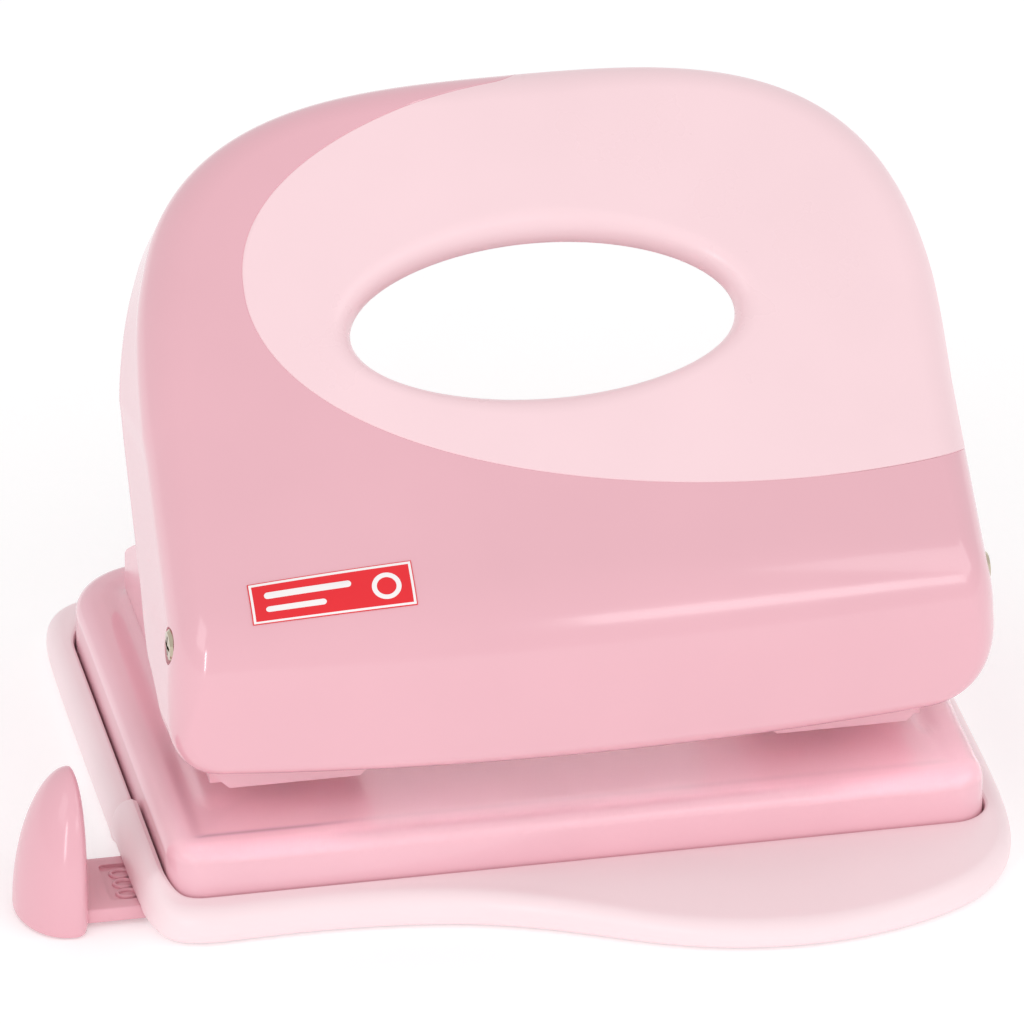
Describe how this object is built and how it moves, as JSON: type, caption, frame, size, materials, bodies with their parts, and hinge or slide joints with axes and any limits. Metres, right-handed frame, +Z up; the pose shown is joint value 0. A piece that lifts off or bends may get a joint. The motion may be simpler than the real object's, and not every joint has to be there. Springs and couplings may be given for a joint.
{
  "type": "two-hole office punch",
  "caption": "Desk hole punch for two holes 80 mm apart, with a wide two-tone lever, soft chip tray and a sliding paper guide.",
  "frame": {"origin": "on the table, half way between the two punch pins, below the middle of the paper throat", "axes": "+Z up, +X to the right of someone facing the paper slot, +Y to the back, away from the paper"},
  "size_m": [0.1447, 0.1164, 0.0969],
  "materials": {
    "lever_plastic": "gloss",
    "grip_plastic": "satin",
    "base_paint": "gloss",
    "frame_paint": "gloss",
    "tray_plastic": "satin",
    "guide_plastic": "gloss",
    "pin_steel": "ground",
    "gear_steel": "zinc plated",
    "screw_nickel": "nickel",
    "spring_steel": "drawn wire",
    "spacer_plastic": "satin",
    "sticker": "gloss"
  },
  "bodies": {
    "base": {"base_plate": "base_paint", "frame_left": "frame_paint", "frame_right": "frame_paint", "frame_rivets": "gear_steel", "die_left": "pin_steel", "die_right": "pin_steel"},
    "lever": {"lever_shell": "lever_plastic", "grip_inlay": "grip_plastic", "label_sticker": "sticker", "press_yoke": "gear_steel", "press_roller_left": "pin_steel", "press_roller_right": "pin_steel", "pivot_axle": "gear_steel", "axle_screw_left": "screw_nickel", "axle_screw_right": "screw_nickel", "axle_spacers": "spacer_plastic"},
    "pin_left": {"punch_pin_left": "pin_steel", "pin_clip_left": "spring_steel", "return_spring_left": "spring_steel"},
    "pin_right": {"punch_pin_right": "pin_steel", "pin_clip_right": "spring_steel", "return_spring_right": "spring_steel"},
    "tray": {"chip_tray": "tray_plastic"},
    "guide": {"paper_guide": "guide_plastic"}
  },
  "joints": [
    {"name": "lever_hinge", "type": "hinge", "parent": "base", "child": "lever", "pos_m": [0, -0.0125, 0.0407], "axis": [-1, 0, 0], "range_deg": [0, 28], "stiffness_Nm_per_rad": 0.9, "springref_deg": -22.92},
    {"name": "pin_left_slide", "type": "slide", "parent": "base", "child": "pin_left", "axis": [0, 0, -1], "range_m": [0, 0.0063], "deforming": ["return_spring_left"]},
    {"name": "pin_right_slide", "type": "slide", "parent": "base", "child": "pin_right", "axis": [0, 0, -1], "range_m": [0, 0.0063], "deforming": ["return_spring_right"]},
    {"name": "tray_hinge", "type": "hinge", "parent": "base", "child": "tray", "pos_m": [0, 0.0655, 0.0065], "axis": [1, 0, 0], "range_deg": [0, 40]},
    {"name": "guide_slide", "type": "slide", "parent": "tray", "child": "guide", "axis": [-1, 0, 0], "range_m": [-0.006, 0.077]}
  ],
  "couplings": [
    {"joint": "pin_left_slide", "follows": "lever_hinge", "m_per_rad": 0.012868},
    {"joint": "pin_right_slide", "follows": "lever_hinge", "m_per_rad": 0.012868}
  ]
}
